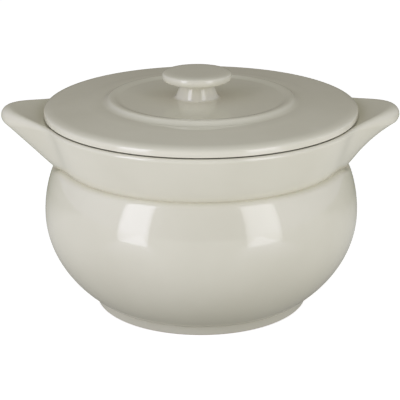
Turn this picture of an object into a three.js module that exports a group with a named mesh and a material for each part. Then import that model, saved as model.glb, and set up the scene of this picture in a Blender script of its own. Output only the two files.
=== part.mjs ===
// A lidded soup bowl in glazed porcelain: a round-bellied bowl on a foot ring, whose flared collar is drawn
// out into two lugs, a flat lid that rests on the collar, and the mushroom knob luted onto the lid.
// Millimetres, +Z up. The origin is the centre of the foot ring on the table, and the lugs point along X.
import * as THREE from "three";

// Bowl: radii, each worked out from the rim inwards
const rimRadius = 64.3; // outside of the collar at its top, away from the lugs
const rimWidth = 5.8; // flat and rounded top of the collar, from the mouth to the outside
const collarFlare = 5.1; // how far the rim stands out past the shoulder
const bellySwell = 4.9; // how far the belly stands out past the shoulder
const footRadius = 43.7; // outside of the foot ring at the table
const footSplay = 0.7; // how much wider the foot ring is where the belly meets it
const footTuck = 1.2; // how far the belly stands out past the foot ring there
const footWidth = 5.8; // foot ring, from its outside to its inside

// Bowl: heights, each above the one before
const footHeight = 4.6; // table to the crease under the belly
const bellyRise = 33.7; // that crease to the widest ring of the belly
const shoulderRise = 21.7; // widest ring to the crease under the collar
const collarHeight = 19; // that crease to the flat of the rim

// Bowl: walls and small forms
const wall = 4.2; // belly and collar
const baseThickness = 4.6; // floor of the bowl above the hollow under it
const recessDepth = 3; // hollow under the base, inside the foot ring
const recessRound = 3;
const footRound = 0.8;
const creaseDepth = 1.5; // groove between the belly and the collar
const shoulderRound = 1.6; // turn of the belly into that groove
const rimRound = 1.1; // outer edge of the rim
const mouthRound = 1.5; // inner edge of the rim
const rimFlat = 1.9; // flat of the rim that the lid rests on
const floorRound = 13; // corner between the floor and the wall inside

// Lugs: the collar is drawn out on two sides, by hand, so the two are not quite alike
const leftLugReach = 16.5; // tip of the left lug past the rim
const rightLugReach = 15.9; // tip of the right lug past the rim
const lugWidth = 60.2; // across a lug where it grows out of the rim
const lugSharpness = 1.5; // 1 is a cosine outline, and more narrows the lug towards its tip
const lugRise = 3.2; // tip of a lug above the flat of the rim
const lugDrop = 3.6; // how much lower the collar leaves the belly under a lug
const lugRound = 3.3; // outer edge of a lug
const leftLugHollow = 0.1; // hollow of the underside of the left lug
const rightLugHollow = 2.3; // hollow of the underside of the right lug

// Lid
const seatGap = 0.3; // lid to the flat of the rim, at rest
const lidInset = 1.1; // edge of the lid inside the edge of the rim
const lidEdge = 3.9; // thickness of the lid at its edge
const lidRise = 1.4; // top of the lid, from its edge to the outer foot of the bead
const lidThickness = 4.2; // lid at the outer foot of the bead
const lidRound = 5; // upper edge of the lid, along its top
const lidRoundDrop = 1.9; // the same edge, down its side
const lidUnderRound = 0.8; // lower edge of the lid
const beadRadius = 36.2; // crest of the raised ring
const beadWidth = 6;
const beadHeight = 1; // crest above the line between its two feet
const wellRise = 0.7; // flat middle of the lid above the outer foot of the bead
const flangeClearance = 1.2; // locating flange to the mouth, all round
const flangeWidth = 4;
const flangeDepth = 5; // below the underside of the edge
const flangeRound = 0.8;
const flangeRoom = 4; // straight mouth below the flange

// Knob
const knobOffset = 1.6; // the knob is luted on a little to the left of the middle
const stemFootRadius = 8.9; // stem where it meets the lid
const stemTopRadius = 6.9; // stem where it meets the cap
const stemHeight = 6.9; // lid to the underside of the cap, at the stem
const stemFlare = 0.8; // slip wiped round the foot of the stem, past the stem
const stemFlareHeight = 0.9;
const flareEdge = 0.3; // thickness of that slip at its edge
const capRadius = 14;
const capThickness = 3.9; // underside at the stem to the middle of the top
const capUnderRise = 0.5; // underside of the cap, from the stem to its edge
const capDome = 0.3; // top of the cap, from its edge to its middle
const capRound = 1.2; // width of the round edge of the cap

const sidesOfBowl = 72;
const sidesOfLid = 60;
const sidesOfKnob = 40;
const lugCrowding = 0.35; // 0 spaces the sides of the bowl evenly, and more crowds them towards the lugs

const neckRadius = rimRadius - collarFlare;
const bellyRadius = neckRadius + bellySwell;
const mouthRadius = rimRadius - rimWidth;
const footTopRadius = footRadius + footSplay;
const bellyFootRadius = footTopRadius + footTuck;
const footInnerRadius = footRadius - footWidth;
const equator = footHeight + bellyRise;
const neckHeight = equator + shoulderRise;
const rimHeight = neckHeight + collarHeight;
const floorHeight = recessDepth + baseThickness;

const lidRadius = rimRadius - lidInset;
const lidBottom = rimHeight + seatGap;
const lidEdgeTop = lidBottom + lidEdge;
const beadFoot = lidEdgeTop + lidRise;
const wellHeight = beadFoot + wellRise;

const porcelain = new THREE.MeshStandardMaterial({ color: 0xe2dfd2, roughness: 0.12, metalness: 0 });

// Points of an ellipse from one angle to another, in degrees, 0 outwards and 90 upwards.
function arc(centreR, centreZ, radiusR, radiusZ, from, to, steps) {
  const curve = new THREE.EllipseCurve(
    centreR,
    centreZ,
    radiusR,
    radiusZ,
    THREE.MathUtils.degToRad(from),
    THREE.MathUtils.degToRad(to),
    to < from,
  );
  return curve.getPoints(steps);
}

// Points of a rounded corner between two points.
function bend(start, corner, end, steps) {
  const ends = [start, corner, end].map(([r, z]) => new THREE.Vector2(r, z));
  return new THREE.QuadraticBezierCurve(...ends).getPoints(steps);
}

function point(r, z) {
  return [new THREE.Vector2(r, z)];
}

// Half height of the ellipse, centred on the axis, that is widest at the equator and narrows to a radius at
// a height above or below it.
function halfHeight(widest, radius, rise) {
  return rise / Math.sqrt(1 - (radius / widest) ** 2);
}

// Angle at which such an ellipse reaches a height above or below its equator.
function angleAt(height, half) {
  return THREE.MathUtils.radToDeg(Math.asin(height / half));
}

// Half section of the bowl, from the axis under its base, out and up over the rim and back to the axis on
// its floor. The plain wall has no lug, and the other sections are drawn out by its shape.
function bowlSection(lug) {
  const lower = halfHeight(bellyRadius, bellyFootRadius, bellyRise);
  const upper = halfHeight(bellyRadius, neckRadius, shoulderRise);
  const bellyAt = (rise) => bellyRadius * Math.sqrt(1 - (rise / upper) ** 2);
  const creaseRise = shoulderRise - lug.drop;
  const turnRise = creaseRise - shoulderRound;
  const crease = [bellyAt(creaseRise) - creaseDepth, equator + creaseRise];

  const edgeR = rimRadius + lug.reach - lug.round;
  const edgeZ = rimHeight + lug.rise - lug.round;
  const flare = Math.atan2(edgeR + lug.round - crease[0], edgeZ - crease[1]);
  const edgeStart = [edgeR + lug.round * Math.cos(flare), edgeZ - lug.round * Math.sin(flare)];
  const middle = [(crease[0] + edgeStart[0]) / 2 - lug.hollow, (crease[1] + edgeStart[1]) / 2 + lug.hollow];

  const innerBelly = bellyRadius - wall;
  const innerNeck = neckRadius - creaseDepth - wall;
  const innerUpper = halfHeight(innerBelly, innerNeck, shoulderRise);
  const innerLower = lower - wall;
  const turnDrop = equator - floorHeight - floorRound / 2;
  const turnRadius = innerBelly * Math.sqrt(1 - (turnDrop / innerLower) ** 2);
  const cornerRadius = innerBelly * Math.sqrt(1 - ((equator - floorHeight) / innerLower) ** 2);
  const mouthBottom = rimHeight - seatGap - flangeDepth - flangeRoom;
  const halfway = (mouthBottom + neckHeight) / 2;

  return [
    point(0, recessDepth),
    bend(
      [footInnerRadius - recessRound, recessDepth],
      [footInnerRadius, recessDepth],
      [footInnerRadius, footRound],
      3,
    ),
    bend([footInnerRadius, footRound], [footInnerRadius, 0], [footInnerRadius + footRound, 0], 2),
    bend([footRadius - footRound, 0], [footRadius, 0], [footRadius, footRound], 2),
    point(footTopRadius, footHeight),
    arc(0, equator, bellyRadius, lower, -angleAt(bellyRise, lower), 0, 8),
    arc(0, equator, bellyRadius, upper, 0, angleAt(turnRise, upper), 4),
    bend([bellyAt(turnRise), equator + turnRise], [bellyAt(creaseRise), equator + creaseRise], crease, 2),
    bend(crease, middle, edgeStart, 3),
    arc(edgeR, edgeZ, lug.round, lug.round, -THREE.MathUtils.radToDeg(flare), 90, 4),
    point(mouthRadius + mouthRound + rimFlat, rimHeight),
    arc(mouthRadius + mouthRound, rimHeight - mouthRound, mouthRound, mouthRound, 90, 180, 2),
    bend([mouthRadius, mouthBottom], [mouthRadius, halfway], [(mouthRadius + innerNeck) / 2, halfway], 2),
    bend([(mouthRadius + innerNeck) / 2, halfway], [innerNeck, halfway], [innerNeck, neckHeight], 2),
    arc(0, equator, innerBelly, innerUpper, angleAt(shoulderRise, innerUpper), 0, 4),
    arc(0, equator, innerBelly, innerLower, 0, -angleAt(turnDrop, innerLower), 6),
    bend(
      [turnRadius, equator - turnDrop],
      [cornerRadius, floorHeight],
      [cornerRadius - floorRound, floorHeight],
      3,
    ),
    point(0, floorHeight),
  ].flat();
}

// A section without the points that repeat the one before.
function withoutRepeats(section) {
  return section.filter((place, i) => i === 0 || place.distanceTo(section[i - 1]) > 1e-6);
}

// The solid that a half section sweeps about the Z axis.
function turned(section, sides) {
  const geometry = new THREE.LatheGeometry(section, sides);
  geometry.rotateX(Math.PI / 2);
  return geometry;
}

// How much of a lug's shape the bowl has in a direction: all of it at the tip, none where the lug begins.
function lugShare(angle) {
  const fromTip = Math.asin(Math.abs(Math.sin(angle)));
  const halfAngle = Math.asin(lugWidth / 2 / rimRadius);
  const along = Math.min(1, fromTip / halfAngle);
  return ((1 + Math.cos(Math.PI * along)) / 2) ** lugSharpness;
}

function bowlGeometry() {
  const drawnOut = { drop: lugDrop, rise: lugRise, round: lugRound };
  const plain = withoutRepeats(bowlSection({ reach: 0, drop: 0, rise: 0, round: rimRound, hollow: 0 }));
  const left = withoutRepeats(bowlSection({ ...drawnOut, reach: leftLugReach, hollow: leftLugHollow }));
  const right = withoutRepeats(bowlSection({ ...drawnOut, reach: rightLugReach, hollow: rightLugHollow }));
  const geometry = turned(plain, sidesOfBowl);
  const places = geometry.getAttribute("position");
  for (let i = 0; i < places.count; i += 1) {
    const ring = i % plain.length;
    const even = Math.atan2(places.getY(i), places.getX(i));
    const angle = even - (lugCrowding * Math.sin(2 * even)) / 2;
    const drawn = Math.cos(angle) < 0 ? left : right;
    const pulled = plain[ring].clone().lerp(drawn[ring], lugShare(angle));
    places.setXYZ(i, pulled.x * Math.cos(angle), pulled.x * Math.sin(angle), pulled.y);
  }
  return geometry;
}

// The raised ring on the lid, a soft wave between the sloping top outside it and the flat middle inside it.
function beadPoints(steps) {
  const points = [];
  for (let i = 0; i <= steps; i += 1) {
    const inwards = i / steps;
    const lift = (beadHeight * (1 - Math.cos(2 * Math.PI * inwards))) / 2;
    const radius = beadRadius + beadWidth * (0.5 - inwards);
    points.push(new THREE.Vector2(radius, beadFoot + wellRise * inwards + lift));
  }
  return points;
}

// Half section of the lid: flange and underside, edge, sloping top, bead and flat middle.
function lidSection() {
  const flangeOuter = mouthRadius - flangeClearance;
  const flangeInner = flangeOuter - flangeWidth;
  const flangeBottom = lidBottom - flangeDepth;
  const ceiling = beadFoot - lidThickness;
  return [
    point(0, ceiling),
    bend(
      [flangeInner - flangeRound, ceiling],
      [flangeInner, ceiling],
      [flangeInner, ceiling - flangeRound],
      2,
    ),
    bend(
      [flangeInner, flangeBottom + flangeRound],
      [flangeInner, flangeBottom],
      [flangeInner + flangeRound, flangeBottom],
      2,
    ),
    bend(
      [flangeOuter - flangeRound, flangeBottom],
      [flangeOuter, flangeBottom],
      [flangeOuter, flangeBottom + flangeRound],
      2,
    ),
    point(flangeOuter, lidBottom),
    bend(
      [lidRadius - lidUnderRound, lidBottom],
      [lidRadius, lidBottom],
      [lidRadius, lidBottom + lidUnderRound],
      2,
    ),
    arc(lidRadius - lidRound, lidEdgeTop - lidRoundDrop, lidRound, lidRoundDrop, 0, 90, 5),
    beadPoints(6),
    point(0, wellHeight),
  ].flat();
}

// Half section of the knob: flared foot of the stem, stem, underside, round edge and domed top of the cap.
function knobSection() {
  const under = wellHeight + stemHeight;
  const top = under + capThickness;
  const edgeMiddle = (under + capUnderRise + top - capDome) / 2;
  const edgeHalf = (top - capDome - under - capUnderRise) / 2;
  const taper = (stemFootRadius - stemTopRadius) / stemHeight;
  return [
    point(0, wellHeight),
    point(stemFootRadius + stemFlare, wellHeight),
    bend(
      [stemFootRadius + stemFlare, wellHeight + flareEdge],
      [stemFootRadius, wellHeight + flareEdge],
      [stemFootRadius - taper * stemFlareHeight, wellHeight + stemFlareHeight],
      2,
    ),
    point(stemTopRadius, under),
    arc(capRadius - capRound, edgeMiddle, capRound, edgeHalf, -90, 90, 7),
    bend([capRadius - capRound, top - capDome], [capRadius / 2, top], [0, top], 3),
  ].flat();
}

const soupBowl = new THREE.Group();
const pieces = {
  bowl: bowlGeometry(),
  lid: turned(withoutRepeats(lidSection()), sidesOfLid),
  lid_knob: turned(withoutRepeats(knobSection()), sidesOfKnob).translate(-knobOffset, 0, 0),
};
for (const [name, geometry] of Object.entries(pieces)) {
  const mesh = new THREE.Mesh(geometry, porcelain);
  mesh.name = name;
  soupBowl.add(mesh);
}

export default soupBowl;
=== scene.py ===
# %% [markdown]
# # A lidded soup bowl in ivory porcelain
#
# The real object is a soup bowl for one person: a round belly on a foot ring, a flared collar
# that is drawn out into two lugs to hold it by, a flat lid, and a mushroom knob that is luted
# onto the lid before the glaze goes on. All three pieces are turned forms, so all three are made
# here as on a potter's wheel: half a section is drawn and then spun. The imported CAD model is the
# fixed frame. It gives the place and the size of every piece in metres, and the Blender pieces
# take their finish and their fine roundings on top of that.

# %% The fixed frame
import math

import bmesh
import bpy
from mathutils import Matrix, Vector


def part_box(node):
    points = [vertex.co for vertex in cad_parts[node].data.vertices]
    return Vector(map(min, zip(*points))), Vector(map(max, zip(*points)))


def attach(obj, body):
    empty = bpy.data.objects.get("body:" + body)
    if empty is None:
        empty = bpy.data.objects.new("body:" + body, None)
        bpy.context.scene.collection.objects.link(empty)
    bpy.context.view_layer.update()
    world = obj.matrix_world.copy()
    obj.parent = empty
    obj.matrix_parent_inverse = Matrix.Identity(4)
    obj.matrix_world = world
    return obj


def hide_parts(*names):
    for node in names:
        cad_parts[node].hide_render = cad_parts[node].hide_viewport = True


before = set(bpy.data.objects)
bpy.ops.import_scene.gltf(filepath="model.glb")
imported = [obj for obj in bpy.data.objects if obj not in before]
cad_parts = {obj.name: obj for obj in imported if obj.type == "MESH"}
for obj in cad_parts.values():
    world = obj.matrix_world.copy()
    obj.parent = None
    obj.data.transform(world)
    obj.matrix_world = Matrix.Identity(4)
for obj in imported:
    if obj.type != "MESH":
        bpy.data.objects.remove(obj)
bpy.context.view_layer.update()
MM = 0.001

# %% [markdown]
# ## The camera
#
# The photograph looks down at the bowl from the front at about 19 degrees, from some 60 cm away,
# through a long lens, so the ellipses of the lid, the collar and the foot open almost alike. The
# eye is given by how far it stands from the point that it aims at, how high, and how far it has
# walked round the bowl. A camera looks along its own -Z axis, so it is turned by the direction
# from the eye to that point, and then rolled a very little about it.

# %% Camera
eye_distance = 600 * MM
eye_elevation = math.radians(19.25)
eye_turn = math.radians(-0.1)
eye_roll = math.radians(-0.175)
aim = Vector((-0.5 * MM, 0, 41.31 * MM))
photo_width = 400
focal_pixels = 1453.6
sensor_width = 36

eye = aim + eye_distance * Vector((
    math.sin(eye_turn) * math.cos(eye_elevation),
    -math.cos(eye_turn) * math.cos(eye_elevation),
    math.sin(eye_elevation),
))
bpy.ops.object.select_all(action="DESELECT")
bpy.ops.object.camera_add(location=eye)
camera = bpy.context.object
camera.name = "photo_camera"
looking = (aim - eye).to_track_quat("-Z", "Y").to_matrix()
camera.rotation_euler = (looking @ Matrix.Rotation(eye_roll, 3, "Z")).to_euler()
camera.data.sensor_width = sensor_width
camera.data.lens = focal_pixels / photo_width * sensor_width
bpy.context.scene.camera = camera
print("camera at", [round(value, 4) for value in eye], "lens", round(camera.data.lens, 1), "mm")

# %% [markdown]
# ## Drawing a half section
#
# A turned piece is known by half of its section: a chain of points, each with a distance from the
# axis and a height. Straight stretches need only their ends. Round stretches come from two small
# helpers, one for a piece of an ellipse and one for a rounded corner, which is a quadratic curve
# that leans on the corner. A real glaze never leaves a sharp edge, so nearly every corner of
# these sections is a bend.

# %% Helpers for the sections
def arc(centre, radii, first, last, steps):
    """Points of an ellipse between two angles in degrees, 0 outwards and 90 upwards."""
    points = []
    for step in range(steps + 1):
        angle = math.radians(first + (last - first) * step / steps)
        points.append((
            centre[0] + radii[0] * math.cos(angle),
            centre[1] + radii[1] * math.sin(angle),
        ))
    return points


def bend(start, corner, end, steps):
    """Points of a rounded corner from start to end."""
    points = []
    for step in range(steps + 1):
        t = step / steps
        weights = ((1 - t) ** 2, 2 * t * (1 - t), t ** 2)
        points.append(tuple(
            weights[0] * start[axis] + weights[1] * corner[axis] + weights[2] * end[axis]
            for axis in (0, 1)
        ))
    return points


def between(start, end, steps):
    """Points of a straight stretch, its two ends left out."""
    return [
        tuple(start[axis] + (end[axis] - start[axis]) * step / steps for axis in (0, 1))
        for step in range(1, steps)
    ]


def towards(start, end, reach):
    """The point at a distance from start on the way to end."""
    length = math.dist(start, end)
    return tuple(start[axis] + (end[axis] - start[axis]) * reach / length for axis in (0, 1))


same_place = 1e-3 * MM


def without_repeats(points):
    """A section without the points that repeat the one before."""
    kept = points[:1]
    for place in points[1:]:
        if math.dist(place, kept[-1]) > same_place:
            kept.append(place)
    return kept


print("a quarter circle of 4 steps has", len(arc((0, 0), (1, 1), 0, 90, 4)), "points")

# %% [markdown]
# ## Spinning it
#
# Blender has several ways to a turned form: the Screw modifier, a curve with a bevel, or the Spin
# operator. Spin is the closest to the wheel, and it shows each step. A small plane is added and
# merged to one vertex, the vertex is extruded from point to point, and the chain is then spun a
# full turn about Z. The first and the last column fall on each other, and so do all the points on
# the axis, so doubles are merged, and only then are the normals recalculated to point out of the
# clay.

# %% Helpers for the wheel
smooth_angle = math.radians(40)


def draw_section(name, section):
    """A new object whose mesh is the chain of points, in the XZ plane."""
    bpy.ops.object.select_all(action="DESELECT")
    bpy.ops.mesh.primitive_plane_add(size=1 * MM)
    piece = bpy.context.object
    piece.name = name
    piece.data.name = name
    bpy.ops.object.mode_set(mode="EDIT")
    bpy.ops.mesh.select_all(action="SELECT")
    bpy.ops.mesh.merge(type="CENTER")
    bpy.ops.transform.translate(value=(section[0][0], 0, section[0][1]))
    for before, after in zip(section, section[1:]):
        step = (after[0] - before[0], 0, after[1] - before[1])
        bpy.ops.mesh.extrude_region_move(TRANSFORM_OT_translate={"value": step})
    bpy.ops.object.mode_set(mode="OBJECT")
    return piece


def spin_section(piece, columns):
    """Turns the chain of points once about the Z axis."""
    bpy.context.view_layer.objects.active = piece
    bpy.ops.object.mode_set(mode="EDIT")
    bpy.ops.mesh.select_all(action="SELECT")
    bpy.ops.mesh.spin(steps=columns, angle=2 * math.pi, center=(0, 0, 0), axis=(0, 0, 1))
    bpy.ops.object.mode_set(mode="OBJECT")


def close_and_smooth(piece):
    """Merges the seam and the poles, turns the faces outwards and shades them smooth."""
    bpy.ops.object.select_all(action="DESELECT")
    piece.select_set(True)
    bpy.context.view_layer.objects.active = piece
    bpy.ops.object.mode_set(mode="EDIT")
    bpy.ops.mesh.select_all(action="SELECT")
    bpy.ops.mesh.remove_doubles(threshold=same_place)
    bpy.ops.mesh.normals_make_consistent(inside=False)
    bpy.ops.object.mode_set(mode="OBJECT")
    bpy.ops.object.shade_smooth_by_angle(angle=smooth_angle)


def tell(piece):
    """Prints what a finished piece holds, and whether its mesh is closed."""
    mesh = bmesh.new()
    mesh.from_mesh(piece.data)
    open_edges = sum(1 for edge in mesh.edges if not edge.is_manifold)
    low = [min(vertex.co[axis] for vertex in mesh.verts) / MM for axis in range(3)]
    high = [max(vertex.co[axis] for vertex in mesh.verts) / MM for axis in range(3)]
    litres = mesh.calc_volume(signed=True) * 1000
    mesh.free()
    triangles = sum(len(face.vertices) - 2 for face in piece.data.polygons)
    print(piece.name, triangles, "triangles,", open_edges, "open edges,",
          round(litres, 4), "litres of clay, from",
          [round(value, 2) for value in low], "to", [round(value, 2) for value in high])


print("wheel ready")

# %% [markdown]
# ## Sizes of the bowl
#
# The rim and the tips of the lugs come from the frame. The rest are the sizes of the real bowl,
# and nearly all are as the CAD source has them: the belly is widest a little below half height,
# the shoulder draws in to a fine groove, and the collar flares out again above it. The groove is
# cut a little deeper here than the collar is set back, because on the photograph it is a dark
# line.

# %% Sizes of the bowl
bowl_low, bowl_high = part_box("bowl")
lid_low, lid_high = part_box("lid")
knob_low, knob_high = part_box("lid_knob")

rim_radius = bowl_high[1]
lug_rise = 3.2 * MM
rim_height = bowl_high[2] - lug_rise
mouth_radius = rim_radius - 5.8 * MM
neck_radius = rim_radius - 5.1 * MM
belly_radius = neck_radius + 4.9 * MM
foot_radius = 43.7 * MM
foot_top_radius = 44.4 * MM
belly_foot_radius = 45.6 * MM
foot_inner_radius = 37.9 * MM
foot_height = 4.6 * MM
equator = 38.3 * MM
neck_height = 60.0 * MM
wall = 4.2 * MM
recess_depth = 3.0 * MM
floor_height = 7.6 * MM
collar_set_back = 1.5 * MM
groove_depth = 2.3 * MM
shoulder_round = 1.6 * MM
print("rim", round(rim_radius / MM, 2), "mm from the axis,", round(rim_height / MM, 2), "mm high")

# %% [markdown]
# ## Section of the bowl
#
# The section starts on the axis under the base, goes out over the foot ring, up the belly and the
# collar, over the rim, and back down the inside to the axis. The belly is a pair of half ellipses
# that meet at its widest ring. The collar bends in at its foot and tucks into the groove. Inside
# its lip the rim falls by half a millimetre, so the gap below the lid is dark. A lug is the same
# wall pulled out: its section has the same points in the same order, with the rim further out and
# a little higher, and the groove a little lower. Having one function for both makes that sure,
# and lets the next step blend them.

# %% Section of the bowl
def half_height(widest, radius, rise):
    """Half height of the ellipse that is widest at the equator and narrows to a radius."""
    return rise / math.sqrt(1 - (radius / widest) ** 2)


def degrees_at(rise, half):
    """Angle at which such an ellipse reaches a height above or below its equator."""
    return math.degrees(math.asin(rise / half))


def outside_of_bowl(lug):
    """Foot, belly, groove and collar, from the foot's outer edge to the top of the rim."""
    lower = half_height(belly_radius, belly_foot_radius, equator - foot_height)
    upper = half_height(belly_radius, neck_radius, neck_height - equator)
    groove_rise = neck_height - equator - lug["drop"]
    turn_rise = groove_rise - shoulder_round
    turn = (belly_radius * math.sqrt(1 - (turn_rise / upper) ** 2), equator + turn_rise)
    lip = (belly_radius * math.sqrt(1 - (groove_rise / upper) ** 2), equator + groove_rise)
    groove = (lip[0] - groove_depth, lip[1])
    root = (lip[0] - collar_set_back, lip[1])

    edge = (rim_radius + lug["reach"] - lug["round"], rim_height + lug["rise"] - lug["round"])
    flare = math.atan2(edge[0] + lug["round"] - root[0], edge[1] - root[1])
    edge_start = (
        edge[0] + lug["round"] * math.cos(flare),
        edge[1] - lug["round"] * math.sin(flare),
    )
    hollow = (
        (root[0] + edge_start[0]) / 2 - lug["hollow"],
        (root[1] + edge_start[1]) / 2 + lug["hollow"],
    )

    foot_crease = (foot_top_radius, foot_height)
    belly_start = -degrees_at(equator - foot_height, lower)
    belly = arc((0, equator), (belly_radius, lower), belly_start, 0, 36)
    crease_reach = 0.7 * MM
    collar = bend(root, hollow, edge_start, 14)
    tuck = bend(groove, collar[1], collar[4], 10)
    groove_round = 0.15 * MM
    shoulder = bend(turn, lip, groove, 10)
    groove_start = towards(groove, shoulder[-2], groove_round)
    groove_end = towards(groove, tuck[1], groove_round)
    return (
        bend(towards(foot_crease, (foot_radius, 0), crease_reach), foot_crease, belly[0], 6)
        + belly[1:]
        + arc((0, equator), (belly_radius, upper), 0, degrees_at(turn_rise, upper), 16)
        + shoulder[:-1]
        + bend(groove_start, groove, groove_end, 4)
        + tuck[1:]
        + collar[5:]
        + arc(edge, (lug["round"], lug["round"]), -math.degrees(flare), 90, 14)
    )


def inside_of_bowl():
    """Mouth, neck, belly and floor, from the seat of the lid to the axis."""
    mouth_round = 1.5 * MM
    rim_flat = 1.9 * MM
    seat_fall = 0.5 * MM
    seat_height = rim_height - seat_fall
    mouth_turn = (mouth_radius + mouth_round, seat_height - mouth_round)
    floor_round = 13 * MM
    mouth_bottom = 69.7 * MM
    inner_belly = belly_radius - wall
    inner_neck = neck_radius - collar_set_back - wall
    upper = half_height(inner_belly, inner_neck, neck_height - equator)
    lower = half_height(belly_radius, belly_foot_radius, equator - foot_height) - wall
    turn_drop = equator - floor_height - floor_round / 2
    turn_radius = inner_belly * math.sqrt(1 - (turn_drop / lower) ** 2)
    corner_radius = inner_belly * math.sqrt(1 - ((equator - floor_height) / lower) ** 2)
    halfway = (mouth_bottom + neck_height) / 2
    middle_radius = (mouth_radius + inner_neck) / 2
    floor_edge = (corner_radius - floor_round, floor_height)
    return (
        [(mouth_radius + mouth_round + rim_flat, seat_height)]
        + arc(mouth_turn, (mouth_round, mouth_round), 90, 180, 8)
        + between((mouth_radius, seat_height - mouth_round), (mouth_radius, mouth_bottom), 4)
        + bend((mouth_radius, mouth_bottom), (mouth_radius, halfway), (middle_radius, halfway), 6)
        + bend((middle_radius, halfway), (inner_neck, halfway), (inner_neck, neck_height), 6)
        + arc((0, equator), (inner_belly, upper), degrees_at(neck_height - equator, upper), 0, 14)
        + arc((0, equator), (inner_belly, lower), 0, -degrees_at(turn_drop, lower), 20)
        + bend((turn_radius, equator - turn_drop), (corner_radius, floor_height), floor_edge, 10)
        + between(floor_edge, (0, floor_height), 4)
        + [(0, floor_height)]
    )


def underside_of_bowl():
    """Hollow under the base and the foot ring's land, from the axis to the foot's outer edge."""
    recess_round = 3 * MM
    foot_round = 0.8 * MM
    recess_edge = (foot_inner_radius - recess_round, recess_depth)
    inner_land = (foot_inner_radius + foot_round, 0)
    outer_land = (foot_radius - foot_round, 0)
    return (
        [(0, recess_depth)]
        + between((0, recess_depth), recess_edge, 5)
        + bend(recess_edge, (foot_inner_radius, recess_depth), (foot_inner_radius, foot_round), 8)
        + bend((foot_inner_radius, foot_round), (foot_inner_radius, 0), inner_land, 6)
        + between(inner_land, outer_land, 4)
        + bend(outer_land, (foot_radius, 0), (foot_radius, foot_round), 6)
    )


def bowl_section(lug):
    """The whole half section, from the axis under the base to the axis on the floor."""
    outside = outside_of_bowl(lug)
    inside = inside_of_bowl()
    return underside_of_bowl() + outside + between(outside[-1], inside[0], 8) + inside


plain_wall = {"reach": 0, "drop": 0, "rise": 0, "round": 1.1 * MM, "hollow": 0}
lug_wall = {"drop": 3.6 * MM, "rise": lug_rise, "round": 3.8 * MM}
left_lug = {**lug_wall, "reach": -bowl_low[0] - rim_radius, "hollow": 0.1 * MM}
right_lug = {**lug_wall, "reach": bowl_high[0] - rim_radius, "hollow": 2.3 * MM}
plain_section = bowl_section(plain_wall)
lug_sections = {"left": bowl_section(left_lug), "right": bowl_section(right_lug)}
print("the bowl's section has", len(plain_section), "points, a lug's", len(lug_sections["left"]))

# %% [markdown]
# ## The bowl and its lugs
#
# On the real bowl the lugs are no separate handles: the maker draws the soft collar out on two
# sides. In Blender the wall could be pulled by proportional editing, but its falloff is a ball
# and the lug's outline is not. So the drawn-out sections are spun as well as the plain one, and
# become its shape keys. A vertex group then says how much of a lug each direction gets: all of it
# at the tip, none where the lug begins, and a narrowed cosine between, so that the lug runs out
# softly into the collar. The hand that drew them made the right lug hollow below and the left one
# nearly straight. Removing the keys with their mix applied leaves one ordinary mesh.

# %% The bowl
bowl_columns = 256
lug_width = 60.2 * MM
lug_sharpness = 1.5


def lug_share(angle):
    """How much of the lug's shape the wall has in a direction about the axis."""
    from_tip = math.asin(abs(math.sin(angle)))
    half_angle = math.asin(lug_width / 2 / rim_radius)
    along = min(1, from_tip / half_angle)
    return ((1 + math.cos(math.pi * along)) / 2) ** lug_sharpness


def draw_out_lug(piece, side, section):
    """Adds a shape key that draws the collar out on the left or on the right."""
    drawn_out = draw_section(side + "_lug", section)
    spin_section(drawn_out, bowl_columns)
    pull = piece.vertex_groups.new(name=side + "_pull")
    side_sign = -1 if side == "left" else 1
    for vertex in piece.data.vertices:
        share = lug_share(math.atan2(vertex.co.y, vertex.co.x))
        if share > 0 and vertex.co.x * side_sign > 0:
            pull.add([vertex.index], share, "REPLACE")
    bpy.ops.object.select_all(action="DESELECT")
    drawn_out.select_set(True)
    piece.select_set(True)
    bpy.context.view_layer.objects.active = piece
    bpy.ops.object.join_shapes()
    piece.active_shape_key_index = len(piece.data.shape_keys.key_blocks) - 1
    piece.active_shape_key.vertex_group = pull.name
    piece.active_shape_key.value = 1
    bpy.data.objects.remove(drawn_out)


bowl = draw_section("soup_bowl", plain_section)
spin_section(bowl, bowl_columns)
for side, section in lug_sections.items():
    draw_out_lug(bowl, side, section)
bpy.ops.object.shape_key_remove(all=True, apply_mix=True)
bowl.vertex_groups.clear()
close_and_smooth(bowl)
tell(bowl)

# %% [markdown]
# ## The lid
#
# The lid is a shallow disc with a locating flange below, which keeps it from sliding off the
# collar. From its rounded edge the top rises to a shallow valley, which is level, so it mirrors
# the bright edge of the cap as a faint crescent. Then comes the raised ring, steep on the outside
# and gentle on the inside, and the middle is flat. Each flank of the ring is two bends that meet
# where it leans most. The lid rests a hair above the rim, so a fine dark line shows all round, as
# on the real one.

# %% The lid
lid_columns = 224
lid_radius = lid_high[0]
seat_gap = 0.3 * MM
lid_bottom = rim_height + seat_gap
lid_edge_top = lid_bottom + 3.9 * MM
bead_foot = lid_edge_top + 1.4 * MM
well_height = bead_foot + 0.7 * MM
crest = (36.1 * MM, bead_foot + 1.4 * MM)
outer_flank = (37.4 * MM, bead_foot + 0.9 * MM)
valley = (40.4 * MM, bead_foot - 0.3 * MM)
inner_flank = (34.3 * MM, bead_foot + 1.08 * MM)
well_edge = (32.2 * MM, well_height)
slope_end = (46.5 * MM, bead_foot - 0.57 * MM)


def flank_points(top, middle, foot, lean, steps):
    """A flank that is level at its top and its foot and leans most in the middle."""
    upper_run = math.copysign((top[1] - middle[1]) / lean, top[0] - middle[0])
    lower_run = math.copysign((middle[1] - foot[1]) / lean, foot[0] - middle[0])
    upper_corner = (middle[0] + upper_run, top[1])
    lower_corner = (middle[0] + lower_run, foot[1])
    return bend(top, upper_corner, middle, steps)[:-1] + bend(middle, lower_corner, foot, steps)


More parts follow.
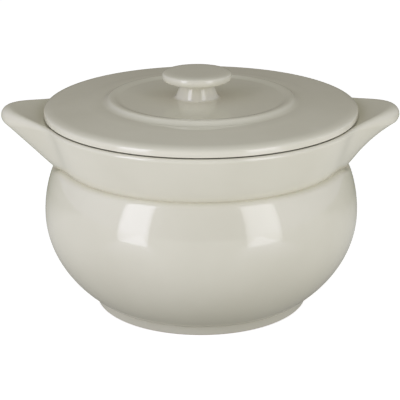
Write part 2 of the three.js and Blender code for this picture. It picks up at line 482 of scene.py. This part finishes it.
def lid_section():
    """The whole half section, from the axis under the lid over its edge to the axis on top."""
    flange_play = 1.2 * MM
    flange_thickness = 4 * MM
    disc_thickness = 4.2 * MM
    flange_outer = mouth_radius - flange_play
    flange_inner = flange_outer - flange_thickness
    flange_bottom = lid_low[2]
    flange_round = 0.8 * MM
    ceiling = bead_foot - disc_thickness
    edge_round = 5 * MM
    edge_drop = 1.9 * MM
    edge_end = 80
    under_round = 0.25 * MM
    seat_rise = 0.08 * MM
    seat_round = 0.6 * MM
    outer_lean = 1.1
    inner_lean = 0.32
    inner_corner = (flange_inner - flange_round, ceiling)
    edge_centre = (lid_radius - edge_round, lid_edge_top - edge_drop)
    edge = arc(edge_centre, (edge_round, edge_drop), 0, edge_end, 24)
    slope_corner = ((slope_end[0] + valley[0]) / 2, valley[1])
    seat_corner = (flange_outer, lid_bottom)
    seat_start = (lid_radius - under_round, lid_bottom + seat_rise)
    seat_end = (lid_radius, lid_bottom + seat_rise + under_round)
    return without_repeats(
        [(0, ceiling)]
        + between((0, ceiling), inner_corner, 6)
        + bend(inner_corner, (flange_inner, ceiling), (flange_inner, ceiling - flange_round), 6)
        + bend((flange_inner, flange_bottom + flange_round), (flange_inner, flange_bottom),
               (flange_inner + flange_round, flange_bottom), 6)
        + bend((flange_outer - flange_round, flange_bottom), (flange_outer, flange_bottom),
               (flange_outer, flange_bottom + flange_round), 6)
        + bend(towards(seat_corner, (flange_outer, flange_bottom), seat_round), seat_corner,
               towards(seat_corner, seat_start, seat_round), 4)
        + bend(seat_start, (lid_radius, seat_start[1]), seat_end, 6)
        + edge
        + between(edge[-1], slope_end, 6)
        + bend(slope_end, slope_corner, valley, 16)
        + flank_points(crest, outer_flank, valley, outer_lean, 10)[::-1]
        + flank_points(crest, inner_flank, well_edge, inner_lean, 10)
        + between(well_edge, (0, well_height), 6)
        + [(0, well_height)]
    )


lid = draw_section("lid_disc", lid_section())
spin_section(lid, lid_columns)
close_and_smooth(lid)
tell(lid)

# %% [markdown]
# ## The knob
#
# The knob is a small mushroom, turned by itself and luted on with slip, a little to the left of
# the middle. Its stem is a straight cone that widens towards the lid, so it catches both lights
# as two bright streaks, and it spreads a little at the foot, where the slip was wiped round. The
# cap has a small round at its widest ring, then bends softly over to a flat top.

# %% The knob
knob_columns = 144
cap_radius = (knob_high[0] - knob_low[0]) / 2
knob_axis = (knob_high[0] + knob_low[0]) / 2
cap_top = knob_high[2]
cap_under = cap_top - 3.9 * MM


def knob_section():
    """The whole half section, from the axis in the lid over the cap's edge to the axis on top."""
    over_round = 2 * MM
    over_degrees = 25
    under_round = 1.2 * MM
    under_rise = 0.2 * MM
    cap_flat = 9 * MM
    widest = cap_top - 1.7 * MM
    stem_top_radius = 6.3 * MM
    stem_foot_radius = 8.7 * MM
    flare_radius = 9.8 * MM
    flare_height = 1.0 * MM
    throat = 0.7 * MM
    sunk = 0.15 * MM
    edge_low = cap_under + under_rise
    stem_foot = (stem_foot_radius, well_height)
    stem_top = (stem_top_radius, cap_under)
    under_edge = (cap_radius - under_round, edge_low)
    flare_end = towards(stem_foot, stem_top, flare_height)
    throat_start = towards(stem_top, stem_foot, throat)
    throat_end = towards(stem_top, under_edge, throat)
    over_centre = (cap_radius - over_round, widest)
    over_edge = arc(over_centre, (over_round, over_round), 0, over_degrees, 8)
    over_turn = over_edge[-1]
    over_run = (cap_top - over_turn[1]) * math.tan(math.radians(over_degrees))
    over_corner = (over_turn[0] - over_run, cap_top)
    return without_repeats(
        [(0, well_height - sunk), (flare_radius, well_height - sunk)]
        + bend((flare_radius, well_height), stem_foot, flare_end, 14)
        + between(flare_end, throat_start, 6)
        + bend(throat_start, stem_top, throat_end, 8)
        + between(throat_end, under_edge, 4)
        + arc((under_edge[0], widest), (under_round, widest - edge_low), -90, 0, 12)
        + over_edge
        + bend(over_turn, over_corner, (cap_flat, cap_top), 16)
        + between((cap_flat, cap_top), (0, cap_top), 4)
        + [(0, cap_top)]
    )


knob = draw_section("lid_knob_turned", knob_section())
spin_section(knob, knob_columns)
bpy.ops.object.mode_set(mode="EDIT")
bpy.ops.mesh.select_all(action="SELECT")
bpy.ops.transform.translate(value=(knob_axis, 0, 0))
bpy.ops.object.mode_set(mode="OBJECT")
close_and_smooth(knob)
tell(knob)

# %% [markdown]
# ## Riding on the frame
#
# Each piece stands for one CAD node, which is hidden and stays in the simulation. The bowl rides
# on its own body, and the lid and its knob ride together on the lid's body, so lifting the lid
# takes both.

# %% Pieces and bodies
for piece, node, body in ((bowl, "bowl", "bowl"), (lid, "lid", "lid"), (knob, "lid_knob", "lid")):
    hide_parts(node)
    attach(piece, body)
    print(piece.name, "stands for", node, "and rides on", body)

# %% [markdown]
# ## The glaze
#
# The finish is a clear, slightly ivory glaze over a white body: very smooth, so it mirrors the
# lamps sharply, but never dead flat. Three things keep it from looking like plastic. The colour
# drifts a little over the surface, as the glaze runs thicker and thinner. It pools in the
# grooves, where it turns deeper, and thins on the edges, where the white body shines through, and
# the Pointiness of the Geometry node finds both. The deeper tone in the grooves is also painted
# crease shade, and the paler tone on the edges is also a painted edge highlight. And the surface
# has the faint ripple of a fired glaze, which only shows in the mirrored lamps.

# %% Glaze
ivory = (0.80, 0.775, 0.64, 1)
ivory_deep = (0.76, 0.735, 0.60, 1)
# Deeper tone for the grooves: pooled glaze, and painted crease shade as well.
pooled_glaze_and_crease_shade = (0.75, 0.725, 0.59, 1)
# Paler tone for the edges: thin glaze, and a painted edge highlight as well.
thin_glaze_and_edge_highlight = (0.83, 0.80, 0.675, 1)
groove_shade_pointiness = (0.495, 0.46)
edge_highlight_pointiness = (0.51, 0.54)
thinned_and_lit_most = 0.4
drift_scale = 30
drift_span = (0.35, 0.7)
polish_scale = 120
polish_span = (0.3, 0.7)
polish_range = (0.035, 0.065)
ripple_scale = 180
ripple_strength = 0.25
ripple_depth = 0.05 * MM
glaze_ior = 1.6


def new_finish(name):
    """A new material with its nodes, its links and its shader."""
    material = bpy.data.materials.new(name)
    material.use_nodes = True
    nodes = material.node_tree.nodes
    return material, nodes, material.node_tree.links, nodes["Principled BSDF"]


def mix_colours(nodes, links, share, first, second):
    """A Mix node between two colours, each a fixed colour or another node's output."""
    mix = nodes.new("ShaderNodeMix")
    mix.data_type = "RGBA"
    links.new(share, mix.inputs["Factor"])
    for socket, colour in ((mix.inputs["A"], first), (mix.inputs["B"], second)):
        if isinstance(colour, tuple):
            socket.default_value = colour
        else:
            links.new(colour, socket)
    return mix.outputs["Result"]


def ramp(nodes, links, value, low, high, out_low, out_high):
    """A Map Range node that stops at its ends."""
    node = nodes.new("ShaderNodeMapRange")
    links.new(value, node.inputs["Value"])
    node.inputs["From Min"].default_value = low
    node.inputs["From Max"].default_value = high
    node.inputs["To Min"].default_value = out_low
    node.inputs["To Max"].default_value = out_high
    return node.outputs["Result"]


def noise(nodes, links, place, scale, detail):
    """A noise texture on the piece's own coordinates, with its scale in cycles per metre."""
    node = nodes.new("ShaderNodeTexNoise")
    links.new(place, node.inputs["Vector"])
    node.inputs["Scale"].default_value = scale
    node.inputs["Detail"].default_value = detail
    return node.outputs["Fac"]


def glaze_finish():
    """Clear ivory glaze, faintly rippled, with pooled glaze and painted crease shade in grooves,
    thin glaze and a painted edge highlight on edges.
    """
    material, nodes, links, shader = new_finish("ivory_glaze")
    place = nodes.new("ShaderNodeTexCoord").outputs["Object"]
    pointed = nodes.new("ShaderNodeNewGeometry").outputs["Pointiness"]
    patches = noise(nodes, links, place, drift_scale, 3)
    drift = ramp(nodes, links, patches, *drift_span, 0, 1)
    colour = mix_colours(nodes, links, drift, ivory, ivory_deep)
    # The grooves get the deeper tone: pooled glaze and painted crease shade.
    pooled_and_shaded = ramp(nodes, links, pointed, *groove_shade_pointiness, 0, 1)
    colour = mix_colours(nodes, links, pooled_and_shaded, colour, pooled_glaze_and_crease_shade)
    # The edges get the paler tone: thin glaze and a painted edge highlight.
    thinned_and_lit = ramp(nodes, links, pointed, *edge_highlight_pointiness, 0, thinned_and_lit_most)
    colour = mix_colours(nodes, links, thinned_and_lit, colour, thin_glaze_and_edge_highlight)
    links.new(colour, shader.inputs["Base Color"])
    cloud = noise(nodes, links, place, polish_scale, 2)
    polish = ramp(nodes, links, cloud, *polish_span, *polish_range)
    links.new(polish, shader.inputs["Roughness"])
    bump = nodes.new("ShaderNodeBump")
    bump.inputs["Strength"].default_value = ripple_strength
    bump.inputs["Distance"].default_value = ripple_depth
    links.new(noise(nodes, links, place, ripple_scale, 1), bump.inputs["Height"])
    links.new(bump.outputs["Normal"], shader.inputs["Normal"])
    shader.inputs["IOR"].default_value = glaze_ior
    return material


glaze = glaze_finish()
for piece in (bowl, lid, knob):
    piece.data.materials.clear()
    piece.data.materials.append(glaze)
print("glaze of", len(glaze.node_tree.nodes), "nodes on the bowl, the lid and the knob")

# %% [markdown]
# ## Bare biscuit
#
# Glaze would weld the bowl to the kiln shelf, so the land of the foot ring is wiped bare before
# firing, and so is the lower edge of the lid's flange. What shows there is the dry, finely
# grained biscuit. The faces are picked by their height and given a second material slot.

# %% Biscuit
biscuit_height = 0.55 * MM
biscuit_pale = (0.80, 0.76, 0.67, 1)
biscuit_dark = (0.70, 0.65, 0.55, 1)
biscuit_roughness = 0.85
grain_scale = 2500
grain_strength = 0.5
grain_depth = 0.05 * MM


def biscuit_finish():
    """Dry, finely grained clay."""
    material, nodes, links, shader = new_finish("bare_biscuit")
    place = nodes.new("ShaderNodeTexCoord").outputs["Object"]
    grain = noise(nodes, links, place, grain_scale, 4)
    colour = mix_colours(nodes, links, grain, biscuit_pale, biscuit_dark)
    links.new(colour, shader.inputs["Base Color"])
    bump = nodes.new("ShaderNodeBump")
    bump.inputs["Strength"].default_value = grain_strength
    bump.inputs["Distance"].default_value = grain_depth
    links.new(grain, bump.inputs["Height"])
    links.new(bump.outputs["Normal"], shader.inputs["Normal"])
    shader.inputs["Roughness"].default_value = biscuit_roughness
    return material


biscuit = biscuit_finish()


def leave_bare(piece, height):
    """Gives the biscuit to the faces that lie below a height."""
    piece.data.materials.append(biscuit)
    bare = 0
    for face in piece.data.polygons:
        if face.center.z < height:
            face.material_index = 1
            bare += 1
    print(piece.name, "has", bare, "bare faces")


leave_bare(bowl, bowl_low[2] + biscuit_height)
leave_bare(lid, lid_low[2] + biscuit_height)

# %% [markdown]
# ## The floor
#
# The floor is plain and pale. Only the camera sees it, with the soft shade of the bowl on it.
# What the glaze gets back from below is set apart, in the table further down, because the
# photograph lets it be measured.

# %% Floor
floor_size = 6
floor_gap = 0.1 * MM
floor_white = (0.86, 0.86, 0.86, 1)
floor_roughness = 0.9
floor_glow = 0.68


def add_disc(name, depth):
    """A flat round floor at a depth below the bowl."""
    bpy.ops.object.select_all(action="DESELECT")
    bpy.ops.mesh.primitive_circle_add(
        vertices=96, radius=floor_size / 2, fill_type="NGON", location=(0, 0, -depth)
    )
    disc = bpy.context.object
    disc.name = name
    return disc


floor = add_disc("studio_floor", floor_gap)
floor_paint, nodes, links, shader = new_finish("pale_floor")
shader.inputs["Base Color"].default_value = floor_white
shader.inputs["Roughness"].default_value = floor_roughness
shader.inputs["Emission Color"].default_value = (1, 1, 1, 1)
shader.inputs["Emission Strength"].default_value = floor_glow
floor.data.materials.append(floor_paint)
floor.visible_diffuse = False
floor.visible_glossy = False
floor.visible_shadow = False
print("floor", floor_size, "m across")

# %% [markdown]
# ## The two panels
#
# Two tall bright panels stand in front, left and right of the camera, and the belly mirrors each
# as an upright bright patch. Their places were read back from those patches. They lean a little
# and are dimmer near the table and at their sides, so the patches end softly. A lamp's own
# Parametric coordinate runs from 0 to 1 across it and from its lower to its upper edge, which
# gives the fades.

# %% Lamps
panel_distance = 0.34
panel_height = 0.32
panel_lean = math.radians(3)
lamp_clearance = 1 * MM
fade_height = 0.06
foot_level = 0.6
edge_share = 0.14
edge_level = 0.5
panels = {
    "left": {
        "turn": math.radians(-43.8),
        "width": 0.131,
        "colour": (3.2, 3.2, 3.7),
        "lean": -panel_lean,
    },
    "right": {
        "turn": math.radians(40.0),
        "width": 0.147,
        "colour": (2.36, 2.36, 2.51),
        "lean": panel_lean,
    },
}


def multiply(nodes, links, first, second):
    """A Math node that multiplies two outputs."""
    node = nodes.new("ShaderNodeMath")
    node.operation = "MULTIPLY"
    links.new(first, node.inputs[0])
    links.new(second, node.inputs[1])
    return node.outputs[0]


def outwards(turn):
    """Direction on the floor at an angle from the front, positive to the right."""
    return Vector((math.sin(turn), -math.cos(turn), 0))


def add_panel(name, panel):
    """A tall soft lamp on the table that faces the bowl, dimmer at its foot and its sides."""
    centre_height = panel_height / 2 + lamp_clearance
    place = outwards(panel["turn"]) * panel_distance + Vector((0, 0, centre_height))
    bpy.ops.object.light_add(type="AREA", location=place)
    lamp = bpy.context.object
    lamp.name = name + "_panel"
    facing = (-outwards(panel["turn"])).to_track_quat("-Z", "Y").to_matrix()
    lamp.rotation_euler = (facing @ Matrix.Rotation(panel["lean"], 3, "Z")).to_euler()
    lamp.data.shape = "RECTANGLE"
    lamp.data.size = panel["width"]
    lamp.data.size_y = panel_height
    strongest = max(panel["colour"])
    lamp.data.energy = strongest * math.pi * panel["width"] * panel_height
    lamp.data.color = [part / strongest for part in panel["colour"]]
    lamp.data.use_nodes = True
    nodes = lamp.data.node_tree.nodes
    links = lamp.data.node_tree.links
    split = nodes.new("ShaderNodeSeparateXYZ")
    links.new(nodes.new("ShaderNodeNewGeometry").outputs["Parametric"], split.inputs["Vector"])
    from_foot = ramp(nodes, links, split.outputs["Y"], 0, fade_height / panel_height, foot_level, 1)
    from_left = ramp(nodes, links, split.outputs["X"], 0, edge_share, edge_level, 1)
    from_right = ramp(nodes, links, split.outputs["X"], 1 - edge_share, 1, 1, edge_level)
    across = multiply(nodes, links, from_left, from_right)
    strength = multiply(nodes, links, from_foot, across)
    links.new(strength, nodes["Emission"].inputs["Strength"])
    lamp.visible_camera = False
    print(lamp.name, "at", [round(value, 3) for value in place], round(lamp.data.energy, 3), "W")


for name, panel in panels.items():
    add_panel(name, panel)

# %% [markdown]
# ## The table
#
# The white table throws light back up. Close to the foot it lies in the bowl's own shade, further
# out it is brighter, most of all at both sides, behind the bowl it is dim again, and at the foot
# of each panel it glows. That glow lets the bright patches on the belly end softly at the bottom.
# The disc gives this light and stays hidden from the camera.

# %% Table
table_gap = 0.2 * MM
table_near = (0.285, 0.28, 0.255, 1)
table_far = (0.475, 0.475, 0.455, 1)
table_rear = (0.18, 0.19, 0.135, 1)
table_side = (0.60, 0.60, 0.58, 1)
panel_glow = (1.6, 1.6, 1.8, 1)
shade_span = (0.045, 0.11)
side_span = (0.07, 0.15)
rear_span = (0.06, 0.16)
glow_reach = 0.2
glow_core = 0.4
glow_edge = 0.6


def measure_along(nodes, links, place, direction):
    """How far a place lies along a direction."""
    dot = nodes.new("ShaderNodeVectorMath")
    dot.operation = "DOT_PRODUCT"
    links.new(place, dot.inputs[0])
    dot.inputs[1].default_value = direction
    return dot.outputs["Value"]


table = add_disc("white_table", table_gap)
table_paint, nodes, links, shader = new_finish("table_light")
shader.inputs["Base Color"].default_value = (0, 0, 0, 1)
shader.inputs["Roughness"].default_value = 1
shader.inputs["Specular IOR Level"].default_value = 0
place = nodes.new("ShaderNodeTexCoord").outputs["Object"]
split = nodes.new("ShaderNodeSeparateXYZ")
links.new(place, split.inputs["Vector"])
from_axis = nodes.new("ShaderNodeVectorMath")
from_axis.operation = "LENGTH"
links.new(place, from_axis.inputs[0])
from_shade = ramp(nodes, links, from_axis.outputs["Value"], *shade_span, 0, 1)
colour = mix_colours(nodes, links, from_shade, table_near, table_far)
sideways = nodes.new("ShaderNodeMath")
sideways.operation = "ABSOLUTE"
links.new(split.outputs["X"], sideways.inputs[0])
to_side = ramp(nodes, links, sideways.outputs[0], *side_span, 0, 1)
colour = mix_colours(nodes, links, to_side, colour, table_side)
to_rear = ramp(nodes, links, split.outputs["Y"], *rear_span, 0, 1)
colour = mix_colours(nodes, links, to_rear, colour, table_rear)
for panel in panels.values():
    towards_panel = measure_along(nodes, links, place, outwards(panel["turn"]))
    across_panel = measure_along(nodes, links, place, outwards(panel["turn"] + math.pi / 2))
    aside = nodes.new("ShaderNodeMath")
    aside.operation = "ABSOLUTE"
    links.new(across_panel, aside.inputs[0])
    glow_start = panel_distance - glow_reach
    core = glow_core * panel["width"]
    edge = glow_edge * panel["width"]
    closer = ramp(nodes, links, towards_panel, glow_start, panel_distance, 0, 1)
    within = ramp(nodes, links, aside.outputs[0], core, edge, 1, 0)
    colour = mix_colours(nodes, links, multiply(nodes, links, closer, within), colour, panel_glow)
links.new(colour, shader.inputs["Emission Color"])
shader.inputs["Emission Strength"].default_value = 1
table.data.materials.append(table_paint)
table.visible_camera = False
table.visible_shadow = False
print("table from", table_near[:3], "near the foot to", table_far[:3], "further out")

# %% [markdown]
# ## The surroundings
#
# Around the bowl is a small white tent. Its sides are bright, most of all beside the panels, the
# back and the top are dimmer and warmer, and it is open towards the camera. That is why the belly
# is brighter than the top of the lid, which mostly mirrors the back. The world mixes these five
# colours by direction, and folds left onto right first, since both sides are alike.

# %% Surroundings
front_light = (0.07, 0.07, 0.07, 1)
rear_light = (0.215, 0.19, 0.155, 1)
side_light = (0.45, 0.45, 0.51, 1)
top_light = (0.37, 0.38, 0.31, 1)
beside_panels_light = (0.71, 0.71, 0.82, 1)
beside_panels = Vector((0.86, -0.31, 0.40))
behind_span = (0.2, 0.8)
beside_span = (0.4, 0.85)
overhead_span = (0.5, 0.9)
near_panels_span = (0.72, 0.95)
world = bpy.data.worlds.new("white_tent")
bpy.context.scene.world = world
world.use_nodes = True
nodes = world.node_tree.nodes
links = world.node_tree.links
split = nodes.new("ShaderNodeSeparateXYZ")
links.new(nodes.new("ShaderNodeTexCoord").outputs["Generated"], split.inputs["Vector"])
sideways = nodes.new("ShaderNodeMath")
sideways.operation = "ABSOLUTE"
links.new(split.outputs["X"], sideways.inputs[0])
folded = nodes.new("ShaderNodeCombineXYZ")
links.new(sideways.outputs[0], folded.inputs["X"])
links.new(split.outputs["Y"], folded.inputs["Y"])
links.new(split.outputs["Z"], folded.inputs["Z"])
towards_panels = measure_along(
    nodes, links, folded.outputs["Vector"], beside_panels.normalized()
)

behind = ramp(nodes, links, split.outputs["Y"], *behind_span, 0, 1)
beside = ramp(nodes, links, sideways.outputs[0], *beside_span, 0, 1)
overhead = ramp(nodes, links, split.outputs["Z"], *overhead_span, 0, 1)
near_panels = ramp(nodes, links, towards_panels, *near_panels_span, 0, 1)
tent = mix_colours(nodes, links, behind, front_light, rear_light)
tent = mix_colours(nodes, links, beside, tent, side_light)
tent = mix_colours(nodes, links, overhead, tent, top_light)
tent = mix_colours(nodes, links, near_panels, tent, beside_panels_light)
links.new(tent, nodes["Background"].inputs["Color"])
nodes["Background"].inputs["Strength"].default_value = 1
bpy.context.scene.view_settings.view_transform = "Standard"
bpy.context.scene.view_settings.look = "None"
print("sides", side_light[:3], "back", rear_light[:3], "top", top_light[:3])
